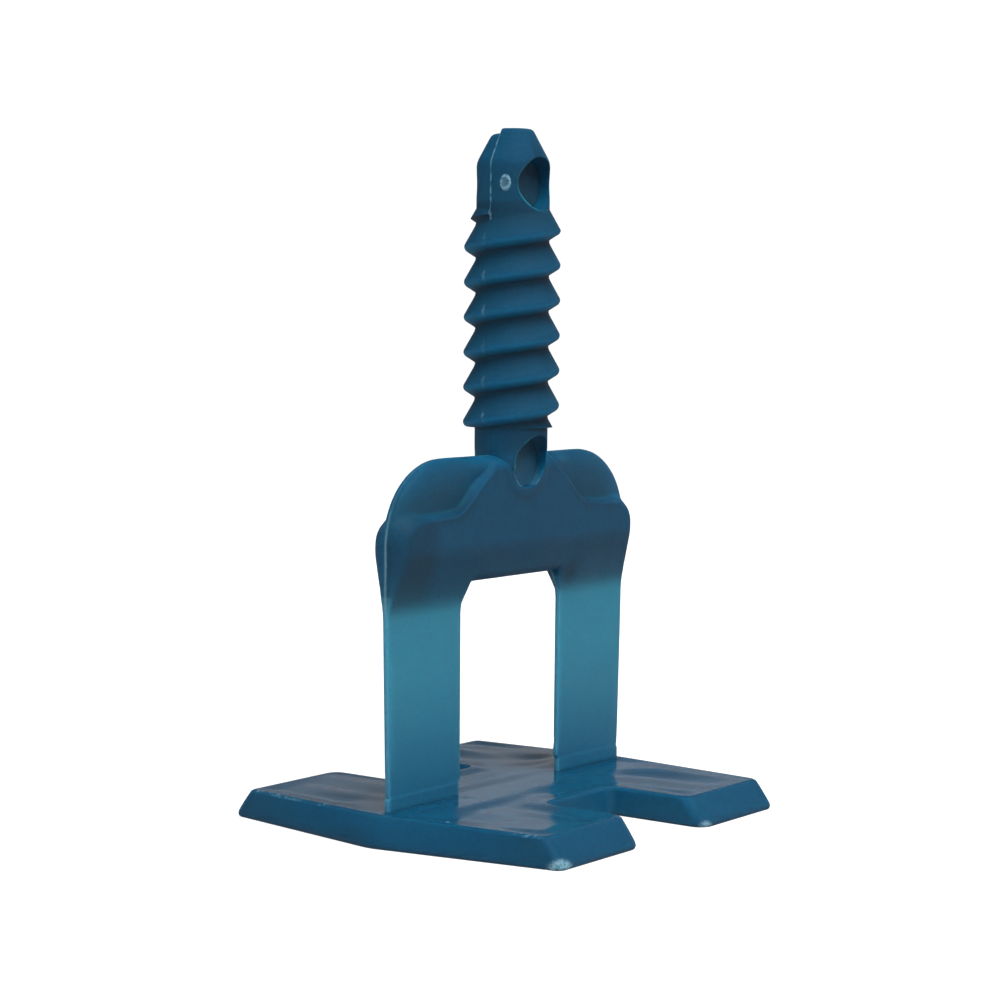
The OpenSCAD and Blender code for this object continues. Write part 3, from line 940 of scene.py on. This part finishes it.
to_rim = T.new("ShaderNodeAttribute", attribute_name="lip").outputs["Fac"]
to_rim = T.math("MULTIPLY", T.math("SUBTRACT", 1.0, to_rim), 0.002)
on_stem = T.range(sep.outputs["Z"], 0.0370, 0.0385)
rough = T.math("ADD", T.range(cloud, 0.3, 0.7, 0.50, 0.60), T.math("MULTIPLY", on_stem, 0.12))
smear = T.range(cloud, 0.35, 0.65, 0.150, 0.185)
rough_mix = T.new("ShaderNodeMix", data_type="FLOAT")
T.put(rough_mix.inputs["Factor"], top_face)
T.put(rough_mix.inputs["A"], rough)
T.put(rough_mix.inputs["B"], smear)
roughness = rough_mix.outputs["Result"]

# whitened spots: the gate mark, knocked lower corners and scuffs along the upper edge
speck = T.noise(obj, 3600.0, 3.0, 0.7)
marks = None
for point, radius, squash, strength in (
        ((-0.0188, -0.0203, 0.0000), 0.00200, (0.9, 0.9, 1.2), 0.42),
        ((0.0063, -0.0203, 0.0001), 0.00120, (0.9, 0.9, 1.15), 0.30),
):
    spot = T.near(obj, point, radius, squash)
    spot = T.math("MULTIPLY", spot, strength)
    marks = spot if marks is None else T.math("MAXIMUM", marks, spot)
marks = T.math("MULTIPLY", T.math("MULTIPLY", T.range(marks, 0.03, 0.22), 0.60), T.range(speck, 0.34, 0.56, 0.15, 1.0), clamp=True)
stub = T.near(obj, (-0.00341, -0.00156, 0.06445), 0.00105, (1, 1, 0.70))
stub = T.math("MULTIPLY", T.math("MULTIPLY", T.range(stub, 0.36, 0.52), T.range(stub, 0.66, 0.90, 1.0, 0.35)), T.range(sep.outputs["X"], -0.0039, -0.0031, 0.45, 1.0))
marks = T.math("MAXIMUM", marks, T.math("MULTIPLY", stub, T.range(speck, 0.34, 0.58, 0.20, 0.80)))

# scuffs along the upper near edge of the plate
def scuff(y0, y1, level):
    along = T.math("MULTIPLY", T.range(sep.outputs["Y"], y0 - 0.0004, y0 + 0.0004), T.range(sep.outputs["Y"], y1 - 0.0004, y1 + 0.0004, 1.0, 0.0))
    edge = T.math("MULTIPLY", T.range(sep.outputs["Z"], 0.00268, 0.00285), T.range(sep.outputs["X"], -0.0184, -0.0180, 1.0, 0.0))
    worn = T.range(T.noise(obj, 2100.0, 3.0, 0.7), 0.48, 0.66)
    return T.math("MULTIPLY", T.math("MULTIPLY", along, edge), T.math("MULTIPLY", worn, level))


for point, radius in (((-0.0140, -0.0019, 0.0262), 0.00040), ((-0.0188, -0.0068, 0.0030), 0.00045)):
    marks = T.math("MAXIMUM", marks, T.math("MULTIPLY", T.range(T.near(obj, point, radius), 0.2, 0.7), 0.55))
scuffs = T.math("ADD", scuff(0.0110, 0.0178, 0.34), T.math("ADD", scuff(0.0072, 0.0084, 0.34), scuff(-0.0178, -0.0150, 0.34)))
lip = T.math("MULTIPLY", T.range(to_rim, 0.0000, 0.0006, 1.0, 0.0), 1.0)
marks = T.math("MAXIMUM", marks, T.math("MULTIPLY", scuffs, lip), clamp=True)
colour = T.mix(marks, colour, lin(150, 190, 205))
T.put(bsdf.inputs["Base Color"], colour)
T.put(bsdf.inputs["Roughness"], T.math("ADD", roughness, T.math("MULTIPLY", marks, 0.25), clamp=True))
bsdf.inputs["IOR"].default_value = 1.49
bsdf.inputs["Subsurface Weight"].default_value = 0.8
bsdf.inputs["Subsurface Radius"].default_value = (0.3, 0.8, 1.0)
bsdf.inputs["Subsurface Scale"].default_value = 0.0011

bevel = T.new("ShaderNodeBevel", samples=4)
bevel.inputs["Radius"].default_value = 0.00009
bump = T.new("ShaderNodeBump")
bump.inputs["Strength"].default_value = 0.35
bump.inputs["Distance"].default_value = 0.00003
T.put(bump.inputs["Height"], T.math("MULTIPLY", calm, T.math("ADD", grain, T.math("MULTIPLY", flow, 1.4))))
T.put(bump.inputs["Normal"], bevel.outputs["Normal"])
T.put(bsdf.inputs["Normal"], bump.outputs["Normal"])

clip.data.materials.clear()
clip.data.materials.append(plastic)
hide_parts("leveling_clip")
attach(clip, "root")

# ------------------------------------------------------------------ floor, light, camera
floor_mesh = bpy.data.meshes.new("floor")
ring = [(0.9 * math.cos(t), 0.9 * math.sin(t), -0.00002) for t in np.linspace(0, 2 * math.pi, 97)[:-1]]
floor_mesh.from_pydata([(0, 0, -0.00002)] + ring, [], [(0, k + 1, (k + 1) % 96 + 1) for k in range(96)])
floor = bpy.data.objects.new("floor", floor_mesh)
bpy.context.scene.collection.objects.link(floor)
pale = bpy.data.materials.new("pale_floor")
F = Tree(pale)
fo = F.new("ShaderNodeOutputMaterial")
fd = F.new("ShaderNodeBsdfDiffuse")
fd.inputs["Color"].default_value = (0.45, 0.45, 0.45, 1)
fe = F.new("ShaderNodeEmission")
fe.inputs["Color"].default_value = (1, 1, 1, 1)
fe.inputs["Strength"].default_value = 0.75
fa = F.new("ShaderNodeAddShader")
F.put(fa.inputs[0], fd.outputs[0])
F.put(fa.inputs[1], fe.outputs[0])
dim = F.new("ShaderNodeBsdfDiffuse")
dim.inputs["Color"].default_value = (0.28, 0.28, 0.283, 1)
seen = F.new("ShaderNodeMixShader")
F.put(seen.inputs[0], F.new("ShaderNodeLightPath").outputs["Is Camera Ray"])
F.put(seen.inputs[1], dim.outputs[0])
F.put(seen.inputs[2], fa.outputs[0])
fc = F.new("ShaderNodeTexCoord").outputs["Object"]
fl = F.new("ShaderNodeVectorMath", operation="LENGTH")
F.put(fl.inputs[0], fc)
ft = F.new("ShaderNodeBsdfTransparent")
fm = F.new("ShaderNodeMixShader")
F.put(fm.inputs[0], F.range(fl.outputs["Value"], 0.12, 0.75))
F.put(fm.inputs[1], seen.outputs[0])
F.put(fm.inputs[2], ft.outputs[0])
F.put(fo.inputs["Surface"], fm.outputs[0])
floor_mesh.materials.append(pale)

world = bpy.data.worlds.new("studio")
bpy.context.scene.world = world
world.use_nodes = True
wt = world.node_tree
wt.nodes.clear()
wo = wt.nodes.new("ShaderNodeOutputWorld")
sky = wt.nodes.new("ShaderNodeBackground")
sky.inputs["Color"].default_value = (1, 1, 1, 1)
sky.inputs["Strength"].default_value = 1.05
soft = wt.nodes.new("ShaderNodeBackground")
soft.inputs["Strength"].default_value = 1.0
tc = wt.nodes.new("ShaderNodeTexCoord")
toward = wt.nodes.new("ShaderNodeVectorMath")       # brighter to the right of the object and to the front
toward.operation = "DOT_PRODUCT"
toward.inputs[1].default_value = (0.78, -0.60, 0.0)
wt.links.new(tc.outputs["Generated"], toward.inputs[0])
rampn = wt.nodes.new("ShaderNodeValToRGB")
mr = wt.nodes.new("ShaderNodeMapRange")
wt.links.new(toward.outputs["Value"], mr.inputs["Value"])
mr.inputs["From Min"].default_value = -1.0
mr.inputs["From Max"].default_value = 1.0
wt.links.new(mr.outputs["Result"], rampn.inputs["Fac"])
els = rampn.color_ramp.elements
els[0].position, els[0].color = 0.0, (0.150, 0.160, 0.172, 1)
els[1].position, els[1].color = 1.0, (0.32, 0.33, 0.35, 1)
e = els.new(0.40)
e.color = (0.172, 0.182, 0.195, 1)
e = els.new(0.62)
e.color = (0.235, 0.245, 0.262, 1)
wt.links.new(rampn.outputs["Color"], soft.inputs["Color"])
height = wt.nodes.new("ShaderNodeSeparateXYZ")      # brightest low down, dimmer overhead
wt.links.new(tc.outputs["Generated"], height.inputs[0])
fade = wt.nodes.new("ShaderNodeMapRange")
fade.interpolation_type = "SMOOTHSTEP"
wt.links.new(height.outputs["Z"], fade.inputs["Value"])
fade.inputs["From Min"].default_value = 0.20
fade.inputs["From Max"].default_value = 0.27
fade.inputs["To Min"].default_value = 1.0
fade.inputs["To Max"].default_value = 0.27
rise = wt.nodes.new("ShaderNodeMapRange")
rise.interpolation_type = "SMOOTHSTEP"
wt.links.new(height.outputs["Z"], rise.inputs["Value"])
rise.inputs["From Min"].default_value = 0.11
rise.inputs["From Max"].default_value = 0.18
rise.inputs["To Min"].default_value = 0.75
rise.inputs["To Max"].default_value = 2.0
band = wt.nodes.new("ShaderNodeMath")
band.operation = "MULTIPLY"
wt.links.new(fade.outputs["Result"], band.inputs[0])
wt.links.new(rise.outputs["Result"], band.inputs[1])
wt.links.new(band.outputs["Value"], soft.inputs["Strength"])
lp = wt.nodes.new("ShaderNodeLightPath")
wm = wt.nodes.new("ShaderNodeMixShader")
wt.links.new(lp.outputs["Is Camera Ray"], wm.inputs[0])
wt.links.new(soft.outputs[0], wm.inputs[1])
wt.links.new(sky.outputs[0], wm.inputs[2])
wt.links.new(wm.outputs[0], wo.inputs["Surface"])


def panel(name, azimuth, height, strength, spread, mirrored=True):
    """A wide even light from far away: where it stands (degrees), its strength, its width in degrees, and whether gloss shows it."""
    data = bpy.data.lights.new(name, "SUN")
    data.energy = strength
    data.angle = math.radians(spread)
    ob = bpy.data.objects.new(name, data)
    t, h = math.radians(azimuth), math.radians(height)
    at = Vector((math.cos(t) * math.cos(h), math.sin(t) * math.cos(h), math.sin(h)))
    ob.location = at * 0.5
    ob.rotation_euler = at.to_track_quat("Z", "Y").to_euler()
    ob.visible_glossy = mirrored
    bpy.context.scene.collection.objects.link(ob)
    return ob


panel("key", 244, 58, 3.8, 50, mirrored=False)
panel("glint", 244, 58, 0.50, 60)
panel("fill", 186, 18, 1.05, 50, mirrored=False)

azimuth, pitch, roll = math.radians(53.30), math.radians(4.41), math.radians(0.50)
right = Vector((math.cos(azimuth), -math.sin(azimuth), 0))
ahead = Vector((math.sin(azimuth), math.cos(azimuth), 0))
place = right * -0.00104 - ahead * 0.25637 + Vector((0, 0, 0.05212))
forward = ahead * math.cos(pitch) - Vector((0, 0, 1)) * math.sin(pitch)
up = ahead * math.sin(pitch) + Vector((0, 0, 1)) * math.cos(pitch)
cam_x = right * math.cos(roll) + up * math.sin(roll)
cam_y = up * math.cos(roll) - right * math.sin(roll)
cam_data = bpy.data.cameras.new("camera")
cam_data.sensor_width = 36.0
cam_data.lens = 36.0 * 2513.1 / 1000
cam_data.clip_start, cam_data.clip_end = 0.01, 10
camera = bpy.data.objects.new("camera", cam_data)
bpy.context.scene.collection.objects.link(camera)
camera.matrix_world = Matrix(((cam_x.x, cam_y.x, -forward.x, place.x), (cam_x.y, cam_y.y, -forward.y, place.y),
                              (cam_x.z, cam_y.z, -forward.z, place.z), (0, 0, 0, 1)))
bpy.context.scene.camera = camera
bpy.context.scene.view_settings.view_transform = "Standard"
bpy.context.scene.view_settings.look = "None"
